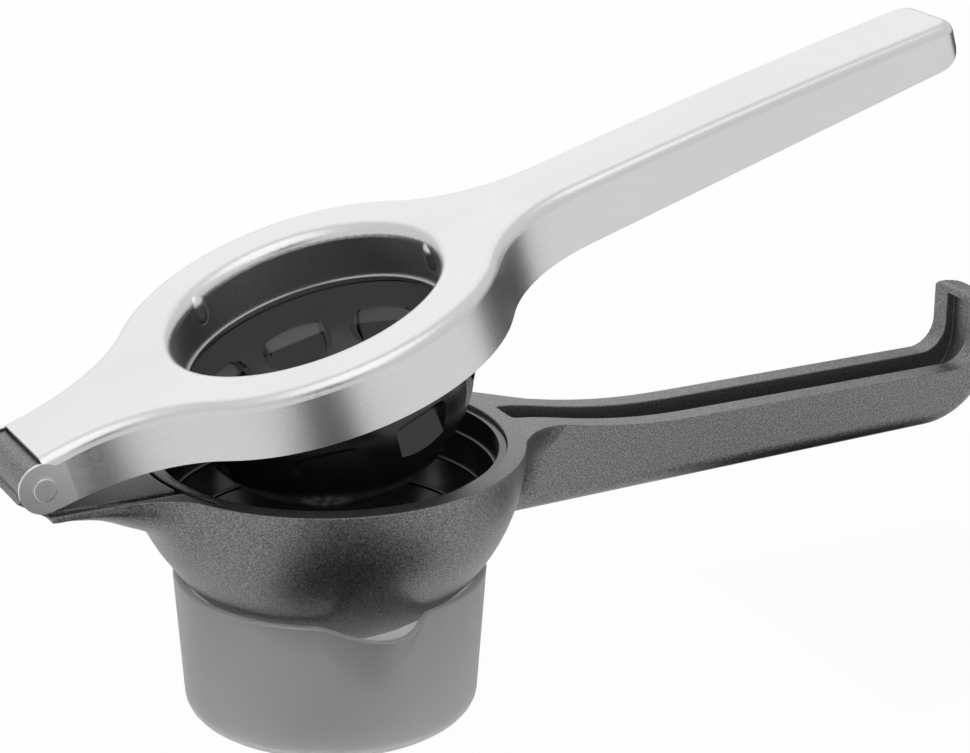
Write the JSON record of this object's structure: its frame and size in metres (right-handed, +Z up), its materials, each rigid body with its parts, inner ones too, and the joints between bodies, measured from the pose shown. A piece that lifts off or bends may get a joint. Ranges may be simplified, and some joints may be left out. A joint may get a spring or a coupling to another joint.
{
  "type": "lever citrus squeezer",
  "caption": "Hinged lever citrus squeezer: a steel ring lever with a dark press dome closes on a grey grooved-handle bowl that sits in a frosted juice cup with a pouring beak.",
  "frame": {"origin": "centre of the cup's foot, on the surface that it stands on", "axes": "+X from the hinge towards the handle ends, +Y across the levers, +Z up"},
  "size_m": [0.285, 0.1, 0.1636],
  "materials": {
    "brushed_steel": "brushed satin",
    "smoked_plastic": "smoky gloss",
    "grey_moulding": "fine matt grain",
    "liner_plastic": "gloss",
    "pin_steel": "satin",
    "bush_plastic": "plain",
    "washer_steel": "plain",
    "frosted_cup": "frosted"
  },
  "bodies": {
    "lower_lever": {"bowl_lever": "grey_moulding", "strainer_liner": "liner_plastic", "hinge_bush": "bush_plastic", "near_washer": "washer_steel", "far_washer": "washer_steel"},
    "upper_lever": {"steel_lever": "brushed_steel", "press_dome": "smoked_plastic", "hinge_pin": "pin_steel", "hinge_pin_cap": "pin_steel"},
    "cup": {"juice_cup": "frosted_cup"}
  },
  "joints": [
    {"name": "lever_hinge", "type": "hinge", "parent": "lower_lever", "child": "upper_lever", "pos_m": [-0.0796, 0, 0.07793], "axis": [0, -1, 0], "range_deg": [-17.3, 109]},
    {"name": "cup_lift_off", "type": "slide", "parent": "cup", "child": "lower_lever", "axis": [0, 0, 1], "range_m": [0, 0.06]}
  ]
}
